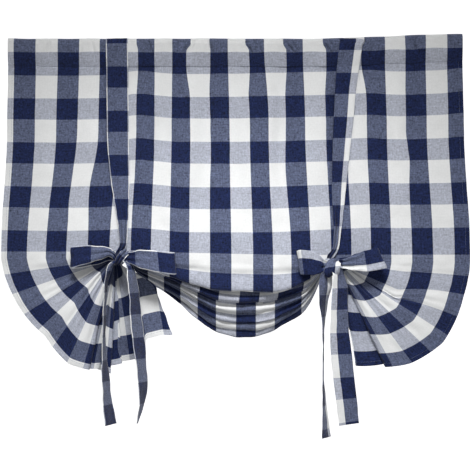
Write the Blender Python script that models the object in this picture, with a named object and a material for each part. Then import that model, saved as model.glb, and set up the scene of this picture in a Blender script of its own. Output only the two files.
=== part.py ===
"""A tie-up window valance: one checked cloth panel below a rod pocket, drawn up and tied with four straps.

Run with: blender --background --python part.py
Metres, +Z up. The viewer looks along +Y, with +X to the right. The origin is the middle of the top edge,
over the axis of the rod that the pocket takes. The cloth hangs down from there, so heights are negative.

u runs across the flat cloth from its middle, and v runs down it from the fold at the top of the pocket.
"""

import math

import bmesh
import bpy
from mathutils import Vector

# The flat cut, in checks of the woven pattern
CHECK = 0.0508
CLOTH_W = 23 * CHECK
CLOTH_L = 1.600
SHEET_T = 0.0011
GAP = 0.0003

# The rod pocket: a fold-over sewn down one seam below the rod
POCKET_DROP = 0.0635
ROD_SPACE_R = 0.0125
POCKET_WALL = 0.0011
SEAM_R = 0.0013
POCKET_STEPS = 24

# How the cloth is spread across the window: a cloth line, and its x at the pocket and at the bows
SPREAD = (
    {"u": -CLOTH_W / 2, "top": -0.5200, "low": -0.5330},
    {"u": -0.290, "top": -0.2640, "low": -0.2630},
    {"u": 0.000, "top": -0.0080, "low": -0.0100},
    {"u": 0.244, "top": 0.2200, "low": 0.2200},
    {"u": CLOTH_W / 2, "top": 0.5200, "low": 0.5340},
)

# Soft upright gathers: the share of the cloth that the rod takes up
GATHER_WAVES = 8.5
GATHER_DEPTH = 0.0065
GATHER_UNEVEN = 0.9
UPPER_STRAIGHT = 0.200

# The two places where straps draw the cloth together: the cloth line, and where it is held
GATHER_V = 0.505
LEFT = {"u": -0.290, "x": -0.263, "z": -0.503, "side": -1}
RIGHT = {"u": 0.244, "x": 0.220, "z": -0.512, "side": 1}
BUNDLE_FRONT = -0.0140
BUNDLE_PITCH = 0.0024
BUNDLE_HALF_W = 0.0120
BUNDLE_HALF_H = 0.0060
BUNDLE_REACH = 0.055

# One row for each crease below the gathered line. v: its place on the cloth. left, right: the angle of that
# cloth line in each fan, in degrees from level through down, and _r the share of its length that shows.
# drop: how far below the bows it hangs in the middle of the swag. steep, full: how the swag's curve fills
# out at its left and right ends. The depths are those of the stretch of cloth that follows the crease.
CREASE_COLUMNS = ("v", "left", "left_r", "right", "right_r", "drop", "steep", "full", "fan_y", "swag_y")
CREASES = [dict(zip(CREASE_COLUMNS, row)) for row in (
    (0.505, 0.0, 0.920, 0.0, 0.920, 0.000, 3.0, 4.0, -0.012, -0.022),
    (0.595, 15.5, 0.920, 13.2, 0.915, 0.071, 2.6, 4.0, -0.012, -0.017),
    (0.714, 46.0, 0.890, 34.0, 0.910, -0.040, 2.0, 3.8, -0.011, -0.012),
    (0.860, 79.0, 0.930, 64.0, 0.800, 0.096, 1.8, 3.8, -0.004, -0.007),
    (0.929, 70.0, 0.930, 56.0, 0.800, 0.034, 1.6, 3.6, 0.001, -0.002),
    (1.011, 88.0, 0.940, 70.0, 0.750, 0.119, 1.5, 3.6, 0.007, 0.003),
    (1.085, 79.5, 0.900, 62.0, 0.750, 0.057, 1.4, 3.4, 0.012, 0.008),
    (1.167, 97.5, 0.860, 75.0, 0.720, 0.141, 1.4, 3.4, 0.018, 0.013),
    (1.240, 89.0, 0.850, 67.0, 0.720, 0.071, 1.4, 3.4, 0.023, 0.018),
    (1.323, 107.0, 0.850, 79.0, 0.710, 0.160, 1.4, 3.4, 0.029, 0.023),
    (1.400, 99.0, 0.780, 71.0, 0.710, 0.085, 1.4, 3.4, 0.034, 0.028),
    (1.483, 127.0, 0.740, 84.0, 0.700, 0.175, 1.4, 3.4, 0.040, 0.033),
    (1.600, 112.0, 0.740, 75.0, 0.700, 0.052, 1.4, 3.4, 0.040, 0.033),
)]
TURN = 0.009
TURN_STEPS = 2

# Straps: double cloth, one check wide, sewn to the top of the pocket in front and behind
STRAP_HALF = 0.0254
STRAP_T = 0.0020
STRAP_TOP = math.radians(55)
STRAP_ACROSS = 4
STRAP_STEP = 0.014
TIE_CLEAR = 0.0004
BACK_LOOSE = 1.8

# The hanging run of each strap: height, x, and half of the width that it narrows to as it nears its knot
LEFT_RUN = (
    {"z": 0.000, "x": -0.2720, "half": 0.0250},
    {"z": -0.210, "x": -0.2680, "half": 0.0230},
    {"z": -0.320, "x": -0.2630, "half": 0.0160},
    {"z": -0.470, "x": -0.2605, "half": 0.0105},
)
RIGHT_RUN = (
    {"z": 0.000, "x": 0.2630, "half": 0.0250},
    {"z": -0.210, "x": 0.2480, "half": 0.0210},
    {"z": -0.320, "x": 0.2380, "half": 0.0160},
    {"z": -0.480, "x": 0.2290, "half": 0.0090},
)

# The knots, in millimetres from the middle of each. half: half of the strap's gathered width. lean: the
# angle of its width in the upright plane. turn: how far the width swings back out of that plane.
TIE_COLUMNS = ("x", "y", "z", "half", "lean", "turn")
FRONT_IN = ((0, -16.6, 14, 9, 0, 0), (-3, -17.4, 3, 8, -45, 0), (-12, -20.0, 0, 8, -85, 0))
FRONT_OUT = ((-12, -33.0, 0, 8, -90, 0), (-6, -34.5, -2, 7, -130, -20), (-11, -34.5, -12, 7, -180, -60))
BACK_IN = (
    (0, 4.0, 90, 13, 0, 0),
    (0, 11.5, 45, 11, 0, 0),
    (0, 16.5, 14, 8, 0, 0),
    (0, 18.0, 0, 7, 0, 0),
    (1, 16.0, -11.0, 6, 0, 0),
    (1, 6.0, -11.4, 7, 0, 0),
    (2, -10.0, -11.6, 7, 0, 0),
    (3, -24.0, -14.0, 7, 0, 0),
    (3, -38.0, -14.0, 7, 0, 0),
    (3, -45.0, -8.0, 8, 8, 0),
    (5, -46.0, 3.0, 9, 12, 0),
    (7, -41.0, 12.5, 8, 8, 0),
    (9, -31.0, 14.0, 7, 0, 0),
    (12, -25.5, 8.0, 7, -40, 0),
)
BACK_OUT = ((13, -38.0, 1, 8, -90, 0), (13, -39.0, -8, 8, -20, 20))

# Each loop: how far it reaches, and how far its end sits above the knot
LOOPS = {
    "front_left": {"reach": -0.114, "rise": 0.000},
    "back_left": {"reach": 0.155, "rise": -0.022},
    "front_right": {"reach": -0.080, "rise": -0.002},
    "back_right": {"reach": 0.124, "rise": 0.010},
}
# Round a loop, from its back to its front: the shares of its reach, rise, open width and depth
LOOP_STEPS = (
    (0.35, 0.15, 0.80, 0.0),
    (0.80, 0.75, 1.00, -0.2),
    (1.00, 1.00, 1.00, 0.5),
    (0.80, 0.75, 1.00, 1.2),
    (0.35, 0.15, 0.80, 1.0),
)

# Each tail: places below its knot in millimetres, and how far its width is turned from the viewer
TAIL_COLUMNS = ("x", "z", "turn")
TAILS = {
    "front_left": (
        (-22, -28, 74),
        (-36, -70, 80),
        (-37, -195, 80),
        (-35, -255, 76),
        (-29, -310, 70),
        (-19, -380, 62),
    ),
    "back_left": (
        (28, -45, 55),
        (38, -110, 54),
        (47, -210, 58),
        (54, -286, 66),
        (53, -332, 77),
        (41, -376, 86),
    ),
    "front_right": (
        (-15, -53, 55),
        (-18, -96, 60),
        (-18, -140, 76),
        (-19, -225, 84),
        (-18, -304, 78),
        (-12, -400, 66),
    ),
    "back_right": (
        (18, -50, 40),
        (17, -112, 34),
        (20, -210, 22),
        (26, -265, 20),
        (31, -316, 24),
        (40, -371, 28),
    ),
}
TAIL_Y = {"front_left": -0.0400, "back_left": -0.0450, "front_right": -0.0400, "back_right": -0.0420}


def lerp(a, b, t):
    return a + (b - a) * t


def smooth(t):
    t = min(max(t, 0.0), 1.0)
    return t * t * (3 - 2 * t)


def between(rows, key, value, column):
    """Straight-line reading of a table's column, held level past its ends."""
    if value <= rows[0][key]:
        return rows[0][column]
    for low, high in zip(rows, rows[1:]):
        if value <= high[key]:
            return lerp(low[column], high[column], (value - low[key]) / (high[key] - low[key]))
    return rows[-1][column]


def creased(v, column):
    """A crease table's column at v, straight between creases and rounded within TURN of each."""
    for i in range(1, len(CREASES) - 1):
        t = v - CREASES[i]["v"]
        if abs(t) < TURN:
            here = CREASES[i][column]
            before = (here - CREASES[i - 1][column]) / (CREASES[i]["v"] - CREASES[i - 1]["v"])
            after = (CREASES[i + 1][column] - here) / (CREASES[i + 1]["v"] - CREASES[i]["v"])
            return here + (before + after) / 2 * t + (after - before) / (4 * TURN) * (t * t + TURN * TURN)
    return between(CREASES, "v", v, column)


def layered(v, depths):
    """The depth at v when stretch i lies at depths[i] and each turn passes smoothly to the next."""
    if v < CREASES[1]["v"] - TURN:
        return depths[0]
    for i in range(1, len(CREASES) - 1):
        t = v - CREASES[i]["v"]
        if t < -TURN:
            return depths[i - 1]
        if t < TURN:
            return lerp(depths[i - 1], depths[i], 0.5 + 0.5 * math.sin(math.pi / 2 * t / TURN))
    return depths[-2]


# The same spread at mid-height, read from x
SPREAD_BY_X = [{"u": row["u"], "x": (row["top"] + row["low"]) / 2} for row in SPREAD]
FAN_DEPTHS = [row["fan_y"] for row in CREASES]
SWAG_DEPTHS = [row["swag_y"] for row in CREASES]
BUNDLE_DEPTHS = [BUNDLE_FRONT + BUNDLE_PITCH * i for i in range(len(CREASES))]
BUNDLE_LIFTS = [0.0] + [BUNDLE_HALF_H * (-1) ** i for i in range(1, len(CREASES))]


def bundle(v):
    """Depth and lift of the cloth line v where a strap holds the folds packed together."""
    lift = 0.0
    for i in range(1, len(CREASES)):
        low, high = CREASES[i - 1]["v"], CREASES[i]["v"]
        if low <= v <= high:
            lift = lerp(BUNDLE_LIFTS[i - 1], BUNDLE_LIFTS[i], smooth((v - low) / (high - low)))
    return layered(v, BUNDLE_DEPTHS), lift


def ripple(u, v):
    """Depth of the soft upright gathers, which start at the pocket's seam."""
    phase = math.tau * GATHER_WAVES * u / CLOTH_W
    wave = math.sin(phase + GATHER_UNEVEN * math.sin(phase * 0.37 + 0.8))
    grow = 0.35 + 0.65 * smooth((v - 0.05) / 0.25)
    return GATHER_DEPTH * wave * grow * smooth(v / POCKET_DROP)


def spread_x(u, v):
    share = smooth(v / GATHER_V)
    return lerp(between(SPREAD, "u", u, "top"), between(SPREAD, "u", u, "low"), share)


def upper_point(u, v):
    """The cloth above the bows hangs straight, and is drawn forward only close to each bow."""
    x = spread_x(u, v)
    tie_z = lerp(LEFT["z"], RIGHT["z"], smooth((u - LEFT["u"]) / (RIGHT["u"] - LEFT["u"])))
    z = -v + (tie_z + GATHER_V) * smooth(v / GATHER_V)
    y = ripple(u, v)
    for tie in (LEFT, RIGHT):
        away = math.hypot(x - tie["x"], (z - tie["z"]) * 0.6)
        y = lerp(y, BUNDLE_FRONT, math.exp(-((away / 0.05) ** 2)))
    return Vector((x, y, z))


def fan_point(tie, angle_column, u, v):
    """Past a bow the cloth lines spread like the ribs of a fan."""
    angle = math.radians(creased(v, angle_column))
    level = min(abs(u - tie["u"]) * CREASES[0]["left_r"], BUNDLE_HALF_W)
    r = max(abs(u - tie["u"]) * creased(v, angle_column + "_r") - level, 0.0)
    held = math.exp(-r / BUNDLE_REACH)
    depth, lift = bundle(v)
    return Vector((
        tie["x"] + tie["side"] * (level + r * math.cos(angle)),
        lerp(layered(v, FAN_DEPTHS), depth, held),
        tie["z"] + lift * held - r * math.sin(angle),
    ))


def swag_point(u, v):
    """Between the bows each cloth line hangs in its own curve, one fold below the other."""
    x = lerp(LEFT["x"], RIGHT["x"], (u - LEFT["u"]) / (RIGHT["u"] - LEFT["u"]))
    start = LEFT["x"] + BUNDLE_HALF_W
    end = RIGHT["x"] - BUNDLE_HALF_W
    s = min(max((x - start) / (end - start), 0.0), 1.0)
    power = lerp(creased(v, "steep"), creased(v, "full"), smooth(s))
    hang = 1 - abs(2 * s - 1) ** power
    held = math.exp(-max(min(x - start, end - x), 0.0) / BUNDLE_REACH)
    depth, lift = bundle(v)
    return Vector((
        x,
        lerp(layered(v, SWAG_DEPTHS), depth, held),
        lerp(LEFT["z"], RIGHT["z"], smooth(s)) + lift * held - creased(v, "drop") * hang,
    ))


def panel_point(u, v):
    if v <= GATHER_V:
        above = upper_point(u, v)
        below = panel_low(u, GATHER_V)
        share = smooth((v - UPPER_STRAIGHT) / (GATHER_V - UPPER_STRAIGHT))
        return Vector((above.x, lerp(above.y, below.y, share), above.z))
    return panel_low(u, v)


def panel_low(u, v):
    if u < LEFT["u"]:
        return fan_point(LEFT, "left", u, v)
    if u > RIGHT["u"]:
        return fan_point(RIGHT, "right", u, v)
    return swag_point(u, v)


def rows_of(start, end, count):
    return [lerp(start, end, i / count) for i in range(count)]


def panel_columns():
    """Cloth lines across the panel, closer together near the two bows."""
    half = CLOTH_W / 2
    held = BUNDLE_HALF_W / CREASES[0]["left_r"]
    left, right = LEFT["u"] - held, RIGHT["u"] + held
    columns = [left - (half + left) * (1 - i / 9) ** 1.2 for i in range(10)]
    columns.append(LEFT["u"])
    middle = (LEFT["u"] + RIGHT["u"]) / 2
    reach = (RIGHT["u"] - LEFT["u"]) / 2 - held
    for i in range(14):
        t = -1 + 2 * i / 13
        columns.append(middle + reach * math.copysign(1 - (1 - abs(t)) ** 1.2, t))
    columns.append(RIGHT["u"])
    columns += [right + (half - right) * (i / 10) ** 1.2 for i in range(11)]
    return columns


def panel_rows():
    """Cloth lines down the panel: a few above the bows, then several round each crease."""
    top = POCKET_DROP + GAP + SHEET_T / 2
    rows = rows_of(top, GATHER_V - 0.10, 5) + rows_of(GATHER_V - 0.10, GATHER_V, 3) + [GATHER_V]
    rows.append((GATHER_V + CREASES[1]["v"]) / 2)
    for i in range(1, len(CREASES) - 1):
        crease = CREASES[i]["v"]
        rows += [crease + TURN * t / TURN_STEPS for t in range(-TURN_STEPS, TURN_STEPS + 1)]
        rows.append((crease + CREASES[i + 1]["v"]) / 2)
    rows.append(CLOTH_L)
    return rows


def material(name, color):
    made = bpy.data.materials.new(name)
    made.use_nodes = True
    shader = made.node_tree.nodes["Principled BSDF"]
    shader.inputs["Base Color"].default_value = (*color, 1.0)
    shader.inputs["Roughness"].default_value = 0.9
    return made


def grid_object(name, lines, closed, thickness, color):
    """A sheet through rows of points, thickened to both sides. closed joins the last row to the first."""
    bm = bmesh.new()
    grid = [[bm.verts.new(point) for point in line] for line in lines]
    count = len(grid) if closed else len(grid) - 1
    for i in range(count):
        low, high = grid[i], grid[(i + 1) % len(grid)]
        for j in range(len(low) - 1):
            bm.faces.new((low[j], low[j + 1], high[j + 1], high[j]))
    mesh = bpy.data.meshes.new(name)
    bm.to_mesh(mesh)
    bm.free()
    obj = bpy.data.objects.new(name, mesh)
    bpy.context.scene.collection.objects.link(obj)
    mesh.materials.append(material(name + "_cloth", color))
    body = obj.modifiers.new("cloth thickness", "SOLIDIFY")
    body.thickness = thickness
    body.offset = 0.0
    return obj


def arc(middle, radius, start, end, steps):
    """Points of an arc in the upright section across the rod, as depth and height."""
    angles = [lerp(start, end, i / steps) for i in range(steps + 1)]
    return [(middle[0] + radius * math.cos(a), middle[1] + radius * math.sin(a)) for a in angles]


def straight(start, end, steps):
    """Points between two points, without the two."""
    shares = [i / steps for i in range(1, steps)]
    return [(lerp(start[0], end[0], t), lerp(start[1], end[1], t)) for t in shares]


def pocket_profile():
    """The pocket's loop, middle of its wall: round the rod, then straight to a narrow end at the seam."""
    big = ROD_SPACE_R + POCKET_WALL / 2
    top = (0.0, -POCKET_WALL / 2 - big)
    low = (0.0, -POCKET_DROP + POCKET_WALL / 2 + SEAM_R)
    lean = math.asin((big - SEAM_R) / (top[1] - low[1]))
    over = arc(top, big, -lean, math.pi + lean, 10)
    under = arc(low, SEAM_R, math.pi + lean, math.tau - lean, 4)
    return over + straight(over[-1], under[0], 3) + under + straight(under[-1], over[0], 3)


def build_pocket():
    half = CLOTH_W / 2
    lines = []
    for y, z in pocket_profile():
        line = []
        for i in range(POCKET_STEPS + 1):
            u = lerp(-half, half, i / POCKET_STEPS)
            line.append(Vector((spread_x(u, -z), y + ripple(u, -z), z)))
        lines.append(line)
    return grid_object("rod_pocket", lines, True, POCKET_WALL, (0.33, 0.36, 0.47))


def build_panel():
    lines = [[panel_point(u, v) for u in panel_columns()] for v in panel_rows()]
    return grid_object("panel", lines, False, SHEET_T, (0.42, 0.45, 0.55))


def pocket_half(z):
    """Half of the pocket's outer depth at height z."""
    big = ROD_SPACE_R + POCKET_WALL
    if z > -big:
        return math.sqrt(max(big * big - (z + big) ** 2, 0.0))
    return lerp(big, SEAM_R + POCKET_WALL / 2, min((-z - big) / (POCKET_DROP - big), 1.0))


def cloth_face(x, z, half, front):
    """Depth of the cloth's face, front or back, over a strap's width at height z."""
    depths = []
    for t in (-1.0, -0.5, 0.0, 0.5, 1.0):
        v = -z
        u = between(SPREAD_BY_X, "x", x + half * t, "u")
        if v < POCKET_DROP:
            depths.append(ripple(u, v) + pocket_half(z) * (-1 if front else 1))
        else:
            depths.append(panel_point(u, v).y + SHEET_T / 2 * (-1 if front else 1))
    return min(depths) if front else max(depths)


def station(x, y, z, half, lean, turn):
    lean, turn = math.radians(lean), math.radians(turn)
    width = Vector((math.cos(turn) * math.cos(lean), math.sin(turn), math.cos(turn) * math.sin(lean)))
    return {"at": Vector((x, y, z)), "width": width, "half": half}


def run_stations(rows, front):
    """The strap lies on the pocket and cloth, front or back, from the pocket's top to above the knot."""
    away = GAP + TIE_CLEAR + STRAP_T / 2
    big = ROD_SPACE_R + POCKET_WALL
    out = []
    for i in range(4):
        angle = STRAP_TOP * (1 - i / 4)
        z = -big + (big + away) * math.sin(angle)
        y = (big + away) * math.cos(angle) * (-1 if front else 1)
        out.append(station(rows[0]["x"], y, z, rows[0]["half"], 0, 0))
    away *= -1 if front else BACK_LOOSE
    lowest = rows[-1]["z"] if front else rows[-2]["z"] - 0.040
    for z in [-big, -0.030, -0.050, -0.066, -0.090] + rows_of(-0.120, lowest, 10) + [lowest]:
        fall = [{"v": -row["z"], "x": row["x"], "half": row["half"]} for row in rows]
        x = between(fall, "v", -z, "x")
        half = between(fall, "v", -z, "half")
        out.append(station(x, cloth_face(x, z, half, front) + away, z, half, 0, 0))
    return out


def tie_stations(tie, rows):
    out = []
    for row in rows:
        at = dict(zip(TIE_COLUMNS, row))
        out.append(station(
            tie["x"] + at["x"] / 1000,
            at["y"] / 1000,
            tie["z"] + at["z"] / 1000,
            at["half"] / 1000,
            at["lean"],
            at["turn"],
        ))
    return out


def loop_stations(tie, loop, near, far):
    """Out along the back of a bow's loop, round its end, and in along its front."""
    out = []
    for reach, rise, width, depth in LOOP_STEPS:
        x = tie["x"] + loop["reach"] * reach
        z = tie["z"] + loop["rise"] * rise
        out.append(station(x, lerp(near, far, depth), z, STRAP_HALF * width, -90, 0))
    return out


def tail_stations(tie, name):
    out = []
    lean = -180 if name.startswith("front") else 0
    for x, z, turn in TAILS[name]:
        swing = -turn if name.startswith("front") else turn
        out.append(station(tie["x"] + x / 1000, TAIL_Y[name], tie["z"] + z / 1000, STRAP_HALF, lean, swing))
    return out


def curve_between(p0, p1, p2, p3, t):
    """A smooth curve through p1 and p2."""
    a = 2 * p1
    b = p2 - p0
    c = 2 * p0 - 5 * p1 + 4 * p2 - p3
    d = 3 * p1 - p0 - 3 * p2 + p3
    return (a + b * t + c * t * t + d * t * t * t) / 2


def strap_lines(stations):
    lines = []
    last = len(stations) - 1
    for i in range(last):
        p0, p1 = stations[max(i - 1, 0)], stations[i]
        p2, p3 = stations[i + 1], stations[min(i + 2, last)]
        steps = max(1, min(4, round((p2["at"] - p1["at"]).length / STRAP_STEP)))
        for k in range(steps + (i == last - 1)):
            t = k / steps
            middle = curve_between(p0["at"], p1["at"], p2["at"], p3["at"], t)
            width = p1["width"].lerp(p2["width"], t).normalized() * lerp(p1["half"], p2["half"], t)
            lines.append([middle + width * lerp(-1, 1, j / STRAP_ACROSS) for j in range(STRAP_ACROSS + 1)])
    return lines


def build_straps():
    color = (0.12, 0.15, 0.30)
    for side, tie, run in (("left", LEFT, LEFT_RUN), ("right", RIGHT, RIGHT_RUN)):
        name = "front_" + side
        stations = run_stations(run, True) + tie_stations(tie, FRONT_IN)
        stations += loop_stations(tie, LOOPS[name], -0.024, -0.037)
        stations += tie_stations(tie, FRONT_OUT) + tail_stations(tie, name)
        grid_object("strap_" + name, strap_lines(stations), False, STRAP_T, color)
        name = "back_" + side
        stations = run_stations(run, False) + tie_stations(tie, BACK_IN)
        stations += loop_stations(tie, LOOPS[name], -0.030, -0.043)
        stations += tie_stations(tie, BACK_OUT) + tail_stations(tie, name)
        grid_object("strap_" + name, strap_lines(stations), False, STRAP_T, color)


def clear_scene():
    for obj in list(bpy.data.objects):
        bpy.data.objects.remove(obj, do_unlink=True)


clear_scene()
build_pocket()
build_panel()
build_straps()
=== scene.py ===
"""The looks of a tie-up window valance in checked cotton: its cloth, straps, bows, hems and seams.

Metres, +Z up. The viewer looks along +Y, with +X to the right. Cloth places are flat: u runs across the cloth
from its middle, and v runs down it from the fold at the top of the rod pocket.
"""

import math

import bpy
import numpy as np
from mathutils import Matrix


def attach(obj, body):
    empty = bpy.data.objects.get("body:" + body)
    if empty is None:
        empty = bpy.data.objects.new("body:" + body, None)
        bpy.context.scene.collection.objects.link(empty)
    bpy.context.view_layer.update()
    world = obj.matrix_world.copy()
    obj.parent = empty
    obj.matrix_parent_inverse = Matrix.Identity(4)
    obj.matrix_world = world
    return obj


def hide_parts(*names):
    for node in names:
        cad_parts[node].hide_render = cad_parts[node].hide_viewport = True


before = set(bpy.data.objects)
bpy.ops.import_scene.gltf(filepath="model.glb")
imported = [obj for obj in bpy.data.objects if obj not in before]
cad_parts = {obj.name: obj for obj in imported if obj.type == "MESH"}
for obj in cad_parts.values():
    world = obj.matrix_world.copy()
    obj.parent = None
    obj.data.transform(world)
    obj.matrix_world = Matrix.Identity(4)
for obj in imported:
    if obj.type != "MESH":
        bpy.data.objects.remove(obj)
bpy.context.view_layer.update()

# ---------------------------------------------------------------------------------------------------------
# The room. A pale floor sweeps up into a white wall, both in matt paint and far enough off to walk round the
# cloth. A camera with a long lens stands square to it. A strip softbox lights it steeply from above, so that
# the folds show, and a large one fills their shade from the right.
# ---------------------------------------------------------------------------------------------------------

# The frame is square. Its pixels are given at the front of the cloth, whose top edge lies so many below the
# frame's own.
FRAME_PX = 470
MM_PER_PX = 2.288
TOP_EDGE_PX = 38
VIEW_FROM = 4.0
CLOTH_Y = -0.012
SENSOR_MM = 36.0
FLOOR_Z = -1.9
WALL_Y = 4.8
ROOM_REACH = 14.0
COVE_R = 0.8
WALL_GLOW = 0.80
ROOM_LIGHT = 0.24


def table(columns, *rows):
    """The rows of a table, each read by the names of its columns."""
    return [dict(zip(columns.split(), row)) for row in rows]


SOFTBOXES = table(
    "name place turn wide tall watts spread",
    ("key_softbox", (-0.02, -1.50, 0.90), (43.0, 0.0, 0.0), 1.15, 0.35, 4.1, 46),
    ("fill_softbox", (1.6, -2.2, -0.2), (85.0, 0.0, 36.0), 1.4, 1.4, 3.0, 180),
)


def hex_color(code):
    """A linear colour from an sRGB hex code."""
    out = []
    for i in (0, 2, 4):
        c = int(code[i : i + 2], 16) / 255
        out.append(c / 12.92 if c <= 0.04045 else ((c + 0.055) / 1.055) ** 2.4)
    return (*out, 1.0)


def placed(name, data):
    """A camera, lamp or mesh as an object in the scene."""
    obj = bpy.data.objects.new(name, data)
    bpy.context.scene.collection.objects.link(obj)
    return obj


def matt_paint(name, code):
    """Matt paint scatters light evenly, so it gives the eye a plain tone with no mirrored lamp in it."""
    made = bpy.data.materials.new(name)
    made.use_nodes = True
    shader = made.node_tree.nodes["Principled BSDF"]
    shader.inputs["Base Color"].default_value = hex_color(code)
    shader.inputs["Roughness"].default_value = 0.9
    return made


def sweep(name, section, paint):
    """A strip across the whole room, along a section of depths and heights."""
    points = [(x, y, z) for y, z in section for x in (-ROOM_REACH, ROOM_REACH)]
    faces = [(2 * i, 2 * i + 1, 2 * i + 3, 2 * i + 2) for i in range(len(section) - 1)]
    mesh = bpy.data.meshes.new(name)
    mesh.from_pydata(points, [], faces)
    mesh.materials.append(paint)
    mesh.shade_smooth()
    placed(name, mesh)


def build_camera():
    lens = bpy.data.cameras.new("camera")
    lens.sensor_width = SENSOR_MM
    lens.lens = SENSOR_MM * (VIEW_FROM + CLOTH_Y) / (FRAME_PX * MM_PER_PX / 1000)
    camera = placed("camera", lens)
    camera.location = (0.0, -VIEW_FROM, -(FRAME_PX / 2 - TOP_EDGE_PX) * MM_PER_PX / 1000)
    camera.rotation_euler = (math.radians(90), 0.0, 0.0)
    bpy.context.scene.camera = camera
    bpy.context.scene.view_settings.view_transform = "Standard"


def build_walls():
    # The wall glows a little, so that it stays white behind the cloth
    wall_paint = matt_paint("matt white paint", "FAFAFA")
    glow = wall_paint.node_tree.nodes["Principled BSDF"].inputs
    glow["Emission Color"].default_value = (1.0, 1.0, 1.0, 1.0)
    glow["Emission Strength"].default_value = WALL_GLOW
    cove = [
        (WALL_Y - COVE_R + COVE_R * math.sin(a), FLOOR_Z + COVE_R - COVE_R * math.cos(a))
        for a in np.linspace(0, math.pi / 2, 9)
    ]
    sweep("floor", [(-ROOM_REACH, FLOOR_Z), cove[0]], matt_paint("matt pale paint", "E4E4E4"))
    sweep("backdrop", cove + [(WALL_Y, ROOM_REACH)], wall_paint)


def build_lights():
    world = bpy.data.worlds.new("white room")
    world.use_nodes = True
    world.node_tree.nodes["Background"].inputs["Color"].default_value = (1.0, 1.0, 1.0, 1.0)
    world.node_tree.nodes["Background"].inputs["Strength"].default_value = ROOM_LIGHT
    bpy.context.scene.world = world
    for box in SOFTBOXES:
        lamp = bpy.data.lights.new(box["name"], "AREA")
        lamp.shape = "RECTANGLE"
        lamp.size, lamp.size_y = box["wide"], box["tall"]
        lamp.energy = box["watts"]
        lamp.spread = math.radians(box["spread"])
        obj = placed(box["name"], lamp)
        obj.location = box["place"]
        obj.rotation_euler = [math.radians(turn) for turn in box["turn"]]


build_camera()
build_walls()
build_lights()

# ---------------------------------------------------------------------------------------------------------
# The panel. One width of yarn-dyed cotton in plain weave, 23 checks across, with narrow double hems stitched
# at its sides and its lower edge. It hangs from the seam of the pocket and is drawn together above two bows,
# which leaves a swag between them and a fan at each side.
# ---------------------------------------------------------------------------------------------------------

CHECK = 0.0508
CLOTH_W = 23 * CHECK
CLOTH_L = 1.600
# Where a dark stripe starts across and down the flat cloth, and the share of each repeat that is dark
FIRST_DARK_U = -0.5700
FIRST_DARK_V = 0.0343
DARK_SHARE_U = 0.50
DARK_SHARE_V = 0.48
# Real yarns lie about 0.4 mm apart, and their slubs are as thin. Both are too fine to show, so the yarns are
# drawn 0.6 mm apart, the slubs 3.2 mm wide and the specks between them 4.2 mm wide.
YARN = 0.0006
SLUB_W = 0.0032
SLUB_L = 0.016
SPECK = 0.0042
# How deep the grain of the weave is against the slubs
WEAVE_SHARE = 0.35
# How much stronger specks are than slubs, how much the dark stripes down the cloth are speckled against those
# across it, and how much the off-white yarns still are
SPECK_SHARE = 1.6
DOWN_SHARE = 0.45
WHITE_SHARE = 0.08
NAVY = hex_color("17234A")
SLATE = hex_color("5C647E")
PALE = hex_color("B4B8C5")
WHITE = hex_color("EFF0F0")


def add_node(tree, kind, inputs=(), **settings):
    """Adds a node with its settings and links. An input is a value, a socket, or a node's first output."""
    node = tree.nodes.new(kind)
    for key, value in settings.items():
        setattr(node, key, value)
    for place, value in inputs.items() if isinstance(inputs, dict) else enumerate(inputs):
        if isinstance(value, bpy.types.Node):
            value = value.outputs[0]
        if isinstance(value, bpy.types.NodeSocket):
            tree.links.new(value, node.inputs[place])
        else:
            node.inputs[place].default_value = value
    return node


def stripe(tree, place, start, dark):
    """1 on the dark share of a stripe repeat, 0 on the rest, with a yarn-wide edge. Twenty repeats are added
    before the fraction, which keeps it above zero, and a quarter is the middle of the dark half.
    """
    away = place
    steps = ("SUBTRACT", start), ("DIVIDE", 2 * CHECK), ("ADD", 20.0), ("FRACT", 0.0), ("SUBTRACT", 0.25)
    for operation, by in (*steps, ("ABSOLUTE", 0.0)):
        away = add_node(tree, "ShaderNodeMath", (away, by), operation=operation)
    other_way = add_node(tree, "ShaderNodeMath", (1.0, away), operation="SUBTRACT")
    away = add_node(tree, "ShaderNodeMath", (away, other_way), operation="MINIMUM")
    edge = add_node(tree, "ShaderNodeMath", (dark / 2, away), operation="SUBTRACT")
    edge = add_node(tree, "ShaderNodeMath", (edge, 2 * CHECK / YARN, 0.5), operation="MULTIPLY_ADD")
    return add_node(tree, "ShaderNodeClamp", (edge,))


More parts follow.
